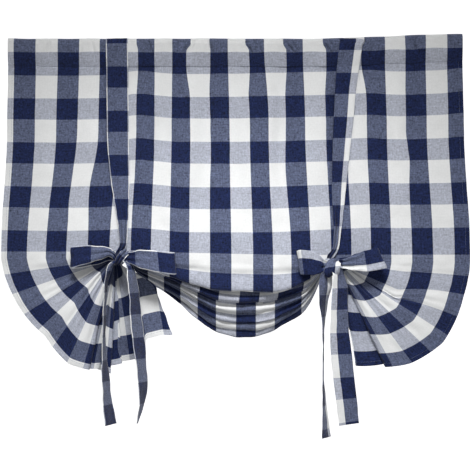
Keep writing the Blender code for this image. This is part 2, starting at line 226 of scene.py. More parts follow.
def check_cotton():
    """Yarn-dyed cotton, woven plain. It gives the eye four flat tones with crisp edges, a heather of uneven
    dye, a faint grain of crossing yarns, and a dull surface that looks a little fuzzy where it turns away.
    """
    made = bpy.data.materials.new("yarn-dyed cotton plain weave")
    made.use_nodes = True
    tree = made.node_tree
    shader = tree.nodes["Principled BSDF"]
    flat = add_node(tree, "ShaderNodeUVMap", uv_map="flat_cloth")
    u, v = add_node(tree, "ShaderNodeSeparateXYZ", (flat,)).outputs[:2]
    dark_u = stripe(tree, u, FIRST_DARK_U, DARK_SHARE_U)
    dark_v = stripe(tree, v, FIRST_DARK_V, DARK_SHARE_V)
    columns = []
    for light, dark in ((WHITE, PALE), (SLATE, NAVY)):
        tones = {0: dark_v, 6: light, 7: dark}
        columns.append(add_node(tree, "ShaderNodeMix", tones, data_type="RGBA").outputs[2])
    tones = {0: dark_u, 6: columns[0], 7: columns[1]}
    mixed = add_node(tree, "ShaderNodeMix", tones, data_type="RGBA").outputs[2]

    # Dyed yarns differ a little along their length: streaks along the warp and along the weft, and specks
    streaks = []
    for wide, tall in ((SLUB_W, SLUB_L), (SLUB_L, SLUB_W), (SPECK, SPECK)):
        scaled = add_node(
            tree, "ShaderNodeVectorMath", (flat, (1 / wide, 1 / tall, 1.0)), operation="MULTIPLY"
        )
        noise = add_node(tree, "ShaderNodeTexNoise", {"Vector": scaled, "Scale": 1.0, "Detail": 2.0})
        streaks.append(add_node(tree, "ShaderNodeMath", (noise, 0.5), operation="SUBTRACT"))
    slub = add_node(tree, "ShaderNodeMath", streaks[:2], operation="ADD")
    heather = add_node(tree, "ShaderNodeMath", (streaks[2], SPECK_SHARE, slub), operation="MULTIPLY_ADD")

    # Dark yarns carry more of the unevenness than off-white ones: the dye takes lighter on their slubs
    dye = add_node(tree, "ShaderNodeMath", (dark_v, DOWN_SHARE, dark_u), operation="MULTIPLY_ADD")
    wander = add_node(tree, "ShaderNodeMath", (dye, WHITE_SHARE), operation="ADD")
    brightness = add_node(tree, "ShaderNodeMath", (heather, wander, 1.0), operation="MULTIPLY_ADD")
    toned = add_node(tree, "ShaderNodeVectorMath", {0: mixed, "Scale": brightness}, operation="SCALE")
    tree.links.new(toned.outputs[0], shader.inputs["Base Color"])

    # The weave: warp and weft rise by turns, one yarn after the next
    waves = []
    for axis in (u, v):
        turns = add_node(tree, "ShaderNodeMath", (axis, math.pi / YARN), operation="MULTIPLY")
        waves.append(add_node(tree, "ShaderNodeMath", (turns,), operation="SINE"))
    weave = add_node(tree, "ShaderNodeMath", waves, operation="MULTIPLY")
    relief = add_node(tree, "ShaderNodeMath", (weave, WEAVE_SHARE, slub), operation="MULTIPLY_ADD")
    bump = add_node(tree, "ShaderNodeBump", {"Height": relief, "Strength": 0.35, "Distance": YARN})
    tree.links.new(bump.outputs[0], shader.inputs["Normal"])
    shader.inputs["Roughness"].default_value = 0.88
    shader.inputs["Sheen Weight"].default_value = 0.12
    shader.inputs["Sheen Roughness"].default_value = 0.5
    shader.inputs["Specular IOR Level"].default_value = 0.25
    return made


COTTON = check_cotton()

# How the flat cloth hangs. Arrays of u and v give places in the room. Between table rows the readings are
# straight, softened over a few millimetres of cloth, so creases come out rounded.
TURN = 0.008
COLUMN_SOFT = 0.030
LEVEL_SOFT = 0.020
# How many places a softened reading takes, and the turn at which the curve of their weights ends
SOFT_PLACES = 9
SOFT_END = math.radians(81)

# Where cloth lines hang across the window, in millimetres, at the pocket, at a third and at the bows. The
# first and last rows lie past the edges, so that the readings stay straight up to them.
COLUMN_TABLE = table(
    "u top middle low",
    (-640.0, -573, -577, -588),
    (-544.6, -482, -484, -498),
    (-443.0, -380, -386, -411),
    (-341.4, -286, -289, -312),
    (-239.8, -205, -205, -213),
    (-138.2, -123, -126, -128),
    (-36.6, -37, -37, -33),
    (65.0, 44, 58, 66),
    (166.6, 132, 137, 149),
    (268.2, 224, 233, 244),
    (369.8, 320, 326, 334),
    (471.4, 412, 415, 429),
    (640.0, 575, 580, 592),
)
MIDDLE_V = 0.21
# How far the cloth is drawn up out of level, in millimetres, near the pocket and near the bows, and the
# places down the cloth where the one ends and the other is reached
LEVEL_TABLE = table(
    "x top low",
    (-520, 0.0, 0.0),
    (-400, -1.0, -2.0),
    (-300, 0.0, 0.0),
    (-224, 11.0, 6.0),
    (-160, 5.0, 1.0),
    (-124, 2.5, -3.0),
    (-80, 3.5, -2.0),
    (14, 4.5, 0.0),
    (98, 7.0, 3.0),
    (188, 8.5, 9.0),
    (313, 13.5, 15.0),
    (366, 9.0, 13.5),
    (423, 10.5, 14.0),
    (476, 12.5, 14.0),
    (520, 18.0, 15.0),
)
LEVEL_TOP_V = 0.12
LEVEL_BOWS_V = 0.44

# Pinches under the rod, in millimetres. at: the place that the cloth is drawn from, over its width. pull: how
# far it is drawn sideways. depth: how far it sinks. The band that they show on, in metres, grows from one
# place down the cloth and fades from another. Below the pocket the cloth starts to sink at SINK_V.
PINCHES = table(
    "at width pull depth",
    (-217, 14, 4.5, 1.0),
    (-190, 10, 0.0, 3.0),
    (-104, 15, -10.0, 3.4),
    (-56, 13, 2.0, 2.0),
    (26, 15, 7.5, 2.0),
    (112, 15, 7.0, 3.4),
    (148, 9, 0.0, 2.4),
    (200, 16, 7.0, 3.0),
    (296, 16, -8.0, 2.4),
    (402, 12, 3.0, 1.8),
)
PINCH_BAND = {"from": 0.012, "grows": 0.016, "until": 0.066, "fades": 0.080}
SINK_V = 0.064
SINK_GROWS = 0.010
# Where columns sway sideways between the pocket and the bows, in millimetres: place, level, size and sway
SWAYS = table(
    "x v wide tall sway",
    (-335, 340, 36, 75, -11),
    (-395, 372, 20, 30, -5),
    (396, 290, 20, 45, 5),
    (-60, 250, 40, 80, 4),
    (110, 330, 30, 90, -4),
)
# Soft upright gathers: their depth, a wide wave and a narrow one, and the slow drift that bends the wide one
# aside. start: how far round its turn a wave is at the middle of the cloth.
GATHER_DEPTH = 0.0200
WIDE_WAVE = {"width": 0.112, "share": 0.75}
NARROW_WAVE = {"width": 0.067, "share": 0.3, "start": 1.9}
WAVE_DRIFT = {"width": 0.43, "share": 1.1, "start": 0.8}
# Their share at the pocket, and from where and over how much of the cloth they grow to the full depth
POCKET_SHARE = 0.45
GATHER_FROM = 0.05
GATHER_GROWS = 0.20
# Over how far each way the cloth's spread is read, and the most that a gather takes up
SPREAD_REACH = 0.02
SPREAD_MOST = 0.3

# The pocket's seam, the cloth's small roll below it, and how far the cloth then falls back before it hangs
# straight
POCKET_DROP = 0.0635
SEAM_ROLL = {"v": 0.069, "wide": 0.004, "depth": 0.0006}
FALL_BACK = 0.0025
FALL_BAND = {"from": 0.062, "grows": 0.030, "until": 0.12, "fades": 0.20}

# The two ties: where on the cloth and in the room each draws it together, and to which side its fan lies. How
# far round it the cloth is drawn in, which is taller than it is wide.
GATHER_V = 0.505
LEFT = {"u": -0.290, "x": -0.263, "z": -0.503, "side": -1}
RIGHT = {"u": 0.244, "x": 0.220, "z": -0.512, "side": 1}
TIE_REACH = 0.05
TIE_TALLER = 0.6
# The bundle of folds under a tie: its front, the step from fold to fold, its half width and height, how far
# out the folds hold together, over how far they give up their slack, and how far out the rim of the fan lies.
# Above it the cloth hangs straight down to UPPER_STRAIGHT.
BUNDLE_FRONT = -0.0140
BUNDLE_PITCH = 0.0024
BUNDLE_HALF_W = 0.0120
BUNDLE_HALF_H = 0.0060
BUNDLE_REACH = 0.055
SLACK_REACH = 0.072
FAN_RIM = 0.27
UPPER_STRAIGHT = 0.200

# One row for each crease or bend below the gathered line. v: its place on the cloth. fold: which crease it
# is, with a part for a bend between two. left, right: the angle of that cloth line in each fan, in degrees
# from level through down, _r the share of its length that shows, and aside how far it hangs past its fan.
# drop: how far below the bows it hangs in the middle of the swag. The depths are those of the stretch of
# cloth that follows the row.
CREASES = table(
    "v fold left left_r left_aside right right_r drop fan_y swag_y",
    (0.505, 0.00, 0.0, 0.920, 0.000, 0.0, 0.920, 0.000, -0.012, -0.034),
    (0.598, 1.00, 20.8, 0.876, 0.000, 14.8, 0.905, 0.074, -0.012, -0.024),
    (0.714, 2.00, 48.0, 0.846, 0.000, 37.3, 0.920, -0.040, -0.011, -0.018),
    (0.800, 2.50, 66.5, 0.935, 0.000, 54.0, 0.858, 0.037, -0.010, -0.018),
    (0.872, 3.00, 77.5, 0.930, 0.000, 65.5, 0.778, 0.101, -0.004, -0.008),
    (0.929, 4.00, 69.5, 0.930, 0.000, 54.0, 0.800, 0.038, 0.002, -0.002),
    (1.000, 4.75, 79.0, 0.920, 0.000, 79.5, 0.704, 0.103, 0.004, -0.002),
    (1.022, 5.00, 82.0, 0.905, 0.000, 78.0, 0.700, 0.123, 0.008, 0.003),
    (1.085, 6.00, 76.0, 0.900, 0.000, 69.0, 0.690, 0.059, 0.012, 0.010),
    (1.175, 7.00, 88.0, 0.945, 0.000, 78.5, 0.690, 0.147, 0.017, 0.014),
    (1.240, 8.00, 82.0, 0.900, 0.000, 68.0, 0.690, 0.074, 0.021, 0.018),
    (1.304, 8.75, 94.0, 0.862, 0.000, 76.0, 0.680, 0.147, 0.024, 0.018),
    (1.323, 9.00, 90.0, 0.850, 0.000, 73.0, 0.680, 0.167, 0.027, 0.022),
    (1.400, 10.00, 108.0, 0.840, 0.000, 66.0, 0.680, 0.090, 0.031, 0.026),
    (1.412, 10.15, 99.0, 0.680, 0.037, 67.0, 0.680, 0.103, 0.034, 0.026),
    (1.457, 10.70, 98.0, 0.640, 0.085, 73.0, 0.680, 0.156, 0.034, 0.026),
    (1.483, 11.00, 112.0, 0.680, 0.062, 77.0, 0.680, 0.181, 0.039, 0.031),
    (1.600, 12.00, 104.0, 0.660, 0.030, 64.0, 0.680, 0.055, 0.039, 0.031),
)
CREASE_V = np.array([row["v"] for row in CREASES])
ASIDE_GROWS = 0.07
# Near the right bow the first rows of the fan hang lower than farther out: the turn, where on the cloth it is
# strongest and how tall it is there, over how far out it grows, and how far out it reaches and fades
SAG_TURN = math.radians(12)
SAG_V = 0.612
SAG_TALL = 0.052
SAG_GROWS = 0.06
SAG_REACH = 0.155
SAG_FADE = 0.050
# How the swag hangs from bow to bow, as shares of its full drop: its front edge, and the folds behind it,
# which sag towards the right bow
SWAG_PROFILE = table(
    "share front deep",
    (0.00, 0.00, 0.00),
    (0.05, 0.12, 0.16),
    (0.12, 0.30, 0.30),
    (0.23, 0.60, 0.45),
    (0.32, 0.82, 0.59),
    (0.42, 0.97, 0.77),
    (0.53, 1.00, 0.95),
    (0.64, 1.00, 1.00),
    (0.75, 0.98, 0.98),
    (0.83, 0.86, 0.90),
    (0.93, 0.50, 0.66),
    (0.97, 0.24, 0.36),
    (1.00, 0.00, 0.00),
)
SWAG_SOFT = 0.03
DEEP_FULL = 0.25
# How the swag's cloth is drawn sideways: the share of the way from bow to bow, and the shift in millimetres
SWAG_DRIFT = table(
    "share shift",
    (0.00, 0),
    (0.28, -18),
    (0.48, -34),
    (0.68, -40),
    (0.86, -36),
    (1.00, 0),
)
# From where to where on the cloth the drift grows, and how early it sets in: the lower, the earlier
DRIFT_START = 0.600
DRIFT_END = 1.000
DRIFT_EARLY = 0.6


def smooth(t):
    t = np.clip(t, 0.0, 1.0)
    return t * t * (3 - 2 * t)


def lerp(a, b, t):
    return a + (b - a) * t


def band(at, edges):
    """Grows from 0 to 1 at one place and fades back to 0 at another."""
    faded = smooth((at - edges["until"]) / edges["fades"])
    return smooth((at - edges["from"]) / edges["grows"]) * (1 - faded)


def reading(rows, place, key, at):
    """Reads one column of a table by its column of places, also between the rows."""
    return np.interp(at, [row[place] for row in rows], [row[key] for row in rows])


def softened(read, at, spread):
    """Averages a reading over a short stretch, with the middle counting most."""
    offsets = np.linspace(-1, 1, SOFT_PLACES)
    weights = np.cos(offsets * SOFT_END)
    total = sum(w * read(at + spread * o) for w, o in zip(weights, offsets))
    return total / weights.sum()


def creased(v, key):
    return softened(lambda at: reading(CREASES, "v", key, at), v, TURN)


def layered(v, depths):
    """The depth of the stretch that v is on, turning smoothly into the next at each crease."""
    depths = np.asarray(depths)
    last = len(depths) - 2
    return softened(lambda at: depths[np.clip(np.searchsorted(CREASE_V, at) - 1, 0, last)], v, TURN)


FAN_DEPTHS = [row["fan_y"] for row in CREASES]
SWAG_DEPTHS = [row["swag_y"] for row in CREASES]
BUNDLE_DEPTHS = [BUNDLE_FRONT + BUNDLE_PITCH * math.floor(row["fold"]) for row in CREASES]
BUNDLE_LIFTS = [BUNDLE_HALF_H * math.cos(math.pi * row["fold"]) * min(row["fold"], 1.0) for row in CREASES]


def bundle(v):
    lift = softened(lambda at: np.interp(at, CREASE_V, BUNDLE_LIFTS), v, TURN)
    return layered(v, BUNDLE_DEPTHS), lift


def column_x(u, height):
    return softened(lambda at: reading(COLUMN_TABLE, "u", height, 1000 * at) / 1000, u, COLUMN_SOFT)


def spread_x(u, v):
    upper = lerp(column_x(u, "top"), column_x(u, "middle"), smooth(v / MIDDLE_V))
    return lerp(upper, column_x(u, "low"), smooth((v - MIDDLE_V) / (GATHER_V - MIDDLE_V)))


def pinched(x, v):
    """How far cloth under the rod is drawn sideways, and how far it sinks."""
    aside, sunk = 0.0, 0.0
    for row in PINCHES:
        share = np.exp(-(((x - row["at"] / 1000) / (row["width"] / 1000)) ** 2)) * band(v, PINCH_BAND)
        aside = aside + row["pull"] / 1000 * share
        sunk = sunk + row["depth"] / 1000 * share
    return aside, sunk


def swayed(x, v):
    total = 0.0
    for row in SWAYS:
        away = ((x * 1000 - row["x"]) / row["wide"]) ** 2 + ((v * 1000 - row["v"]) / row["tall"]) ** 2
        total = total + row["sway"] / 1000 * np.exp(-away)
    return total


def ripple(u, v):
    """Depth of the soft upright gathers. Cloth that is spread narrower than it is cut stands out further."""
    drift = np.sin(math.tau * u / WAVE_DRIFT["width"] + WAVE_DRIFT["start"])
    wide = np.sin(math.tau * u / WIDE_WAVE["width"] + WAVE_DRIFT["share"] * drift)
    narrow = np.sin(math.tau * u / NARROW_WAVE["width"] + NARROW_WAVE["start"])
    wave = WIDE_WAVE["share"] * wide + NARROW_WAVE["share"] * narrow
    spread = (spread_x(u + SPREAD_REACH, v) - spread_x(u - SPREAD_REACH, v)) / (2 * SPREAD_REACH)
    taken_up = np.clip(1.0 - spread, 0.0, SPREAD_MOST)
    grow = lerp(POCKET_SHARE, 1, smooth((v - GATHER_FROM) / GATHER_GROWS))
    return GATHER_DEPTH * np.sqrt(taken_up) * wave * grow * smooth(v / POCKET_DROP)


def drawn_up(x, v):
    """How far the cloth line v is drawn up out of level at x."""
    top, low = (
        softened(lambda at: reading(LEVEL_TABLE, "x", key, 1000 * at) / 1000, x, LEVEL_SOFT)
        for key in ("top", "low")
    )
    lowered = smooth((v - LEVEL_TOP_V) / (LEVEL_BOWS_V - LEVEL_TOP_V))
    return lerp(top, low, lowered) * (1 - smooth((v - LEVEL_BOWS_V) / (GATHER_V - LEVEL_BOWS_V)))


def upper_points(u, v):
    """The cloth from the pocket down to the gathered line."""
    x = spread_x(u, v)
    tie_z = lerp(LEFT["z"], RIGHT["z"], smooth((u - LEFT["u"]) / (RIGHT["u"] - LEFT["u"])))
    z = -v + (tie_z + GATHER_V) * smooth(v / GATHER_V) + drawn_up(x, v)
    aside, sunk = pinched(x, v)
    roll = SEAM_ROLL["depth"] * np.exp(-(((v - SEAM_ROLL["v"]) / SEAM_ROLL["wide"]) ** 2))
    y = ripple(u, v) + sunk * smooth((v - SINK_V) / SINK_GROWS) + roll
    y = y + FALL_BACK * band(v, FALL_BAND)
    x = x + aside + swayed(x, v)
    for tie in (LEFT, RIGHT):
        away = np.hypot(x - tie["x"], (z - tie["z"]) * TIE_TALLER)
        y = lerp(y, BUNDLE_FRONT, np.exp(-((away / TIE_REACH) ** 2)))
    return np.stack([x, y, z], -1)


def fan_points(tie, side, u, v):
    """The cloth outside a tie, below the gathered line."""
    angle = np.radians(creased(v, side))
    hung = np.abs(spread_x(u, GATHER_V + 0 * v) - tie["x"])
    level = np.minimum(hung, BUNDLE_HALF_W)
    slack = FAN_RIM * (1 - creased(v, side + "_r") / CREASES[0][side + "_r"])
    r = np.maximum(hung - level - slack * (1 - np.exp(-hung / SLACK_REACH)), 0.0)
    aside = 0.0
    if side == "left":
        aside = creased(v, "left_aside") * smooth(r / ASIDE_GROWS)
    else:
        inner = np.minimum(np.exp((SAG_REACH - r) / SAG_FADE), 1.0) * smooth(r / SAG_GROWS)
        angle = angle + SAG_TURN * inner * np.exp(-(((v - SAG_V) / SAG_TALL) ** 2))
    held = np.exp(-r / BUNDLE_REACH)
    depth, lift = bundle(v)
    return np.stack([
        tie["x"] + tie["side"] * (level + r * np.cos(angle)) + aside,
        lerp(layered(v, FAN_DEPTHS), depth, held),
        tie["z"] + lift * held - r * np.sin(angle),
    ], -1)


def swag_points(u, v):
    """The cloth between the ties, below the gathered line."""
    x = spread_x(u, GATHER_V + 0 * v)
    start = LEFT["x"] + BUNDLE_HALF_W
    end = RIGHT["x"] - BUNDLE_HALF_W
    s = np.clip((x - start) / (end - start), 0.0, 1.0)
    front, deep = (
        softened(lambda at: reading(SWAG_PROFILE, "share", key, at), s, SWAG_SOFT)
        for key in ("front", "deep")
    )
    hang = lerp(front, deep, smooth((v - DRIFT_START) / DEEP_FULL))
    held = np.exp(-np.maximum(np.minimum(x - start, end - x), 0.0) / BUNDLE_REACH)
    depth, lift = bundle(v)
    drift = reading(SWAG_DRIFT, "share", "shift", s) / 1000
    return np.stack([
        x + drift * smooth((v - DRIFT_START) / (DRIFT_END - DRIFT_START)) ** DRIFT_EARLY,
        lerp(layered(v, SWAG_DEPTHS), depth, held),
        lerp(LEFT["z"], RIGHT["z"], smooth(s)) + lift * held - creased(v, "drop") * hang,
    ], -1)


def low_points(u, v):
    places = swag_points(u, v)
    for tie, side, outside in ((LEFT, "left", u < LEFT["u"]), (RIGHT, "right", u > RIGHT["u"])):
        places = np.where(outside[..., None], fan_points(tie, side, u, v), places)
    return places


def panel_points(u, v):
    above = upper_points(u, v)
    meeting = low_points(u, np.full_like(v, GATHER_V))
    share = smooth((v - UPPER_STRAIGHT) / (GATHER_V - UPPER_STRAIGHT))
    above[..., 1] = lerp(above[..., 1], meeting[..., 1], share)
    return np.where((v <= GATHER_V)[..., None], above, low_points(u, v))


# Cloth as closed meshes. A grid of flat places laid out in the room gets a face and a back, a thickness at
# each place, and the flat places as its UV map, so hems and turned edges stand out in relief.
CLOTH_T = 0.0008
HEM_T = 0.0020
SIDE_HEM = 0.010
END_HEM = 0.018
HEM_STEP = 0.0015
EDGE_ROW = 0.0008
# The golden angle, in radians
GOLDEN_ANGLE = 2.399


def unit(vectors):
    return vectors / np.maximum(np.linalg.norm(vectors, axis=-1, keepdims=True), 1e-9)


def along_rows(places, closed=False):
    if closed:
        return np.roll(places, -1, axis=0) - np.roll(places, 1, axis=0)
    return np.gradient(places, axis=0)


def normals_of(places, closed=False):
    return unit(np.cross(np.gradient(places, axis=1), along_rows(places, closed)))


def uneven(u, v, size, seed):
    """Soft, irregular waves between about -1 and 1, of a given size in metres. They are five plain waves,
    each a golden angle round from the last and a little shorter. The seed sets how they turn and start.
    """
    total = 0.0
    for k in range(5):
        turn = seed * 1.7 + k * GOLDEN_ANGLE
        stretch = math.tau / size * (0.7 + 0.22 * k)
        total = total + np.sin(stretch * (u * math.cos(turn) + v * math.sin(turn)) + seed * 3.1 + k * k)
    return total / 2.6


def cloth_object(name, places, flat, thick, closed=False):
    """A sheet with a face, a back and rims. A closed one meets itself again after its last row."""
    rows, columns = places.shape[:2]
    half = normals_of(places, closed) * (np.broadcast_to(thick, places.shape[:2])[..., None] / 2)
    points = np.concatenate([(places + half).reshape(-1, 3), (places - half).reshape(-1, 3)])
    at = np.arange(rows * columns).reshape(rows, columns)
    following = np.roll(at, -1, axis=0) if closed else at[1:]
    first = at if closed else at[:-1]
    face = np.stack([first[:, :-1], first[:, 1:], following[:, 1:], following[:, :-1]], -1).reshape(-1, 4)
    back = face[:, ::-1] + rows * columns
    rims = [(first[:, 0], following[:, 0], -1), (first[:, -1], following[:, -1], 1)]
    if not closed:
        rims += [(at[0, :-1], at[0, 1:], 1), (at[-1, :-1], at[-1, 1:], -1)]
    edges = [np.stack([a, a + rows * columns, b + rows * columns, b], -1)[:, ::way] for a, b, way in rims]
    faces = np.concatenate([face, back] + edges)
    mesh = bpy.data.meshes.new(name)
    mesh.from_pydata(points.tolist(), [], faces.tolist())
    mesh.materials.append(COTTON)
    layer = mesh.uv_layers.new(name="flat_cloth")
    doubled = np.tile(flat.reshape(-1, 2), (2, 1))
    layer.data.foreach_set("uv", doubled[faces.ravel()].astype(np.float32).ravel())
    mesh.shade_smooth()
    return placed(name, mesh)


# Between the big creases, the cloth that the knots take up stands in fine folds. They run out from the knots
# and fade towards the rims. Below: where the panel starts, how far apart the folds are and how much fuller
# than plain waves, over how far wide and narrow ones alternate and stray, each with its share, over how far
# they grow, and their share at a knot, where they are held flat, with how far out that goes.
PANEL_TOP = 0.0618
FINE_FOLD = 0.034
FOLD_FULLER = 1.15
FOLD_RHYTHM = 0.130
RHYTHM_SHARE = 0.35
FOLD_STRAY = 0.30
STRAY_SHARE = 0.25
FOLD_GROWS = 0.05
KNOT_SHARE = 0.35
KNOT_R = 0.02
KNOT_GROWS = 0.06
# How strongly the fine folds stand, by stretch of cloth: weak where it shows, strong where it is covered
FOLD_STRENGTH = table(
    "v left swag right",
    (0.505, 0.10, 0.35, 0.10),
    (0.600, 0.10, 0.35, 0.10),
    (0.640, 0.10, 1.00, 0.10),
    (0.730, 0.10, 1.00, 0.10),
    (0.760, 0.10, 0.62, 0.10),
    (0.866, 0.10, 0.62, 0.10),
    (0.886, 1.00, 1.00, 1.00),
    (0.928, 1.00, 1.00, 1.00),
    (0.950, 0.80, 1.00, 0.10),
    (0.985, 0.10, 0.62, 0.05),
    (1.022, 0.10, 0.62, 0.40),
    (1.045, 1.00, 1.00, 1.00),
    (1.115, 1.00, 1.00, 1.00),
    (1.138, 0.10, 0.62, 1.00),
    (1.175, 0.10, 0.62, 1.00),
    (1.197, 1.00, 1.00, 1.00),
    (1.250, 1.00, 1.00, 1.00),
    (1.275, 0.10, 0.70, 1.00),
    (1.304, 0.10, 0.62, 1.00),
    (1.400, 0.10, 0.90, 1.00),
    (1.445, 0.05, 0.90, 1.00),
    (1.488, 0.05, 0.62, 1.00),
    (1.510, 0.70, 0.70, 0.70),
    (1.600, 0.70, 0.70, 0.70),
)
# Broad pleats that run out from each knot across the wide stretch of each fan, and over how far from the knot
# they grow
PLEAT_GROWS = 0.06
BROAD_PLEATS = table(
    "v width height from to",
    (0.560, 0.016, 0.0030, 0.02, 0.15),
    (0.632, 0.020, 0.0035, 0.02, 0.17),
    (0.715, 0.018, 0.0040, 0.02, 0.20),
    (0.770, 0.012, 0.0050, 0.02, 0.24),
    (0.822, 0.020, 0.0080, 0.03, 0.30),
)
# Rumples all over the panel: their height, size and seed, and over how far from its top they grow
RUMPLES = ((0.0016, 0.16, 1.0), (0.0007, 0.05, 4.0))
RUMPLE_GROWS = 0.06
UPPER_ROWS = 64
LOWER_ROWS = 235
PANEL_COLUMNS = 158


def fold_strength(u, v):
    left, swag, right = (reading(FOLD_STRENGTH, "v", key, v) for key in ("left", "swag", "right"))
    return np.where(u < LEFT["u"], left, np.where(u > RIGHT["u"], right, swag))


def fine_folds(places, u, v):
    """How far back the fine folds stand: a stretch packed to a share of its length takes up the rest."""
    flat_step = np.maximum(np.abs(along_rows(v[..., None])[..., 0]), 1e-6)
    packed = np.clip(np.linalg.norm(along_rows(places), axis=-1) / flat_step, 0.0, 1.0)
    rhythm = RHYTHM_SHARE * np.sin(math.tau * v / FOLD_RHYTHM + 1.0)
    stray = rhythm + STRAY_SHARE * uneven(u, v, FOLD_STRAY, 2.0)
    near = [np.hypot(places[..., 0] - tie["x"], places[..., 2] - tie["z"]) for tie in (LEFT, RIGHT)]
    loose = lerp(KNOT_SHARE, 1, smooth((np.minimum(*near) - KNOT_R) / KNOT_GROWS))
    height = FOLD_FULLER * FINE_FOLD / 4 * np.sqrt(1 - packed**2) * loose * fold_strength(u, v)
    return height * (1 + np.sin(math.tau * (v / FINE_FOLD + stray))) * smooth((v - GATHER_V) / FOLD_GROWS)


def broad_pleats(places, u, v):
    lift = 0.0
    for tie, outside in ((LEFT, u < LEFT["u"]), (RIGHT, u > RIGHT["u"])):
        r = np.hypot(places[..., 0] - tie["x"], places[..., 2] - tie["z"])
        for row in BROAD_PLEATS:
            bump = np.exp(-(((v - row["v"]) / row["width"]) ** 2))
            shown = smooth(r / PLEAT_GROWS) * (1 - smooth((r - row["from"]) / (row["to"] - row["from"])))
            lift = lift + row["height"] * bump * shown * outside
    return lift


# Each line of stitches is short threads laid one after the next. A real stitch is about 2.5 mm of thread
# 0.3 mm thick. They are drawn 2.6 mm long, 0.6 mm thick and a little apart, so that they show.
STITCH_PITCH = 0.0034
STITCH_LENGTH = 0.0026
STITCH_THICK = 0.0006
THREAD_LIFT = 0.0001


def thread_material():
    """Spun polyester thread, plied and dyed. It gives the eye a smooth soft line, with a slight change of
    tone every millimetre or so, from ply to ply.
    """
    made = bpy.data.materials.new("spun polyester thread")
    made.use_nodes = True
    tree = made.node_tree
    shader = tree.nodes["Principled BSDF"]
    place = add_node(tree, "ShaderNodeTexCoord").outputs["Object"]
    noise = add_node(tree, "ShaderNodeTexNoise", {"Vector": place, "Scale": 900.0, "Detail": 1.0})
    tones = {0: noise, 6: hex_color("4C5674"), 7: hex_color("7A829A")}
    tint = add_node(tree, "ShaderNodeMix", tones, data_type="RGBA").outputs[2]
    tree.links.new(tint, shader.inputs["Base Color"])
    shader.inputs["Roughness"].default_value = 0.6
    shader.inputs["Sheen Weight"].default_value = 0.2
    return made


def stitch_tree(thread):
    """Geometry Nodes that lay a thread at every pitch along lines."""
    tree = bpy.data.node_groups.new("stitches along lines", "GeometryNodeTree")
    tree.interface.new_socket("Lines", in_out="INPUT", socket_type="NodeSocketGeometry")
    for name in ("Pitch", "Length", "Thickness"):
        tree.interface.new_socket(name, in_out="INPUT", socket_type="NodeSocketFloat")
    tree.interface.new_socket("Stitches", in_out="OUTPUT", socket_type="NodeSocketGeometry")
    given = tree.nodes.new("NodeGroupInput").outputs
    curve = add_node(tree, "GeometryNodeMeshToCurve", {"Mesh": given["Lines"]})
    points = add_node(
        tree, "GeometryNodeCurveToPoints", {"Curve": curve, "Length": given["Pitch"]}, mode="LENGTH"
    ).outputs
    bead = add_node(tree, "GeometryNodeMeshUVSphere", {"Segments": 6, "Rings": 4, "Radius": 0.5})
    size = add_node(tree, "ShaderNodeCombineXYZ", (given["Thickness"], given["Thickness"], given["Length"]))
    laid = add_node(
        tree, "GeometryNodeInstanceOnPoints",
        {"Points": points["Points"], "Instance": bead, "Rotation": points["Rotation"], "Scale": size},
    )
    real = add_node(tree, "GeometryNodeRealizeInstances", {"Geometry": laid})
    done = add_node(tree, "GeometryNodeSetMaterial", {"Geometry": real, "Material": thread})
    add_node(tree, "NodeGroupOutput", (done,))
    return tree


STITCHES = stitch_tree(thread_material())


def build_stitches(name, lines):
    mesh = bpy.data.meshes.new(name)
    starts = np.cumsum([0] + [len(line) for line in lines])
    edges = [(int(i), int(i) + 1) for a, b in zip(starts[:-1], starts[1:]) for i in range(a, b - 1)]
    mesh.from_pydata(np.concatenate(lines).tolist(), edges, [])
    obj = placed(name, mesh)
    modifier = obj.modifiers.new("stitches", "NODES")
    modifier.node_group = STITCHES
    sizes = {"Pitch": STITCH_PITCH, "Length": STITCH_LENGTH, "Thickness": STITCH_THICK}
    for item in STITCHES.interface.items_tree:
        if item.name in sizes:
            modifier[item.identifier] = sizes[item.name]
    bpy.context.view_layer.update()
    made = bpy.data.meshes.new_from_object(obj.evaluated_get(bpy.context.evaluated_depsgraph_get()))
    obj.modifiers.remove(modifier)
    obj.data = made
    made.shade_smooth()
    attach(obj, "root")
    return obj


def hem_lines(places, u, v):
    """The lines of stitches at the inner edges of the hems, on the face and on the back."""
    out = normals_of(places) * (HEM_T / 2 + THREAD_LIFT)
    side = CLOTH_W / 2
    lines = []
    for column in (np.argmin(np.abs(u - side + SIDE_HEM)), np.argmin(np.abs(u + side - SIDE_HEM))):
        lines += [places[:, column] + out[:, column], places[:, column] - out[:, column]]
    row = np.argmin(np.abs(v - CLOTH_L + END_HEM))
    return lines + [places[row] + out[row], places[row] - out[row]]


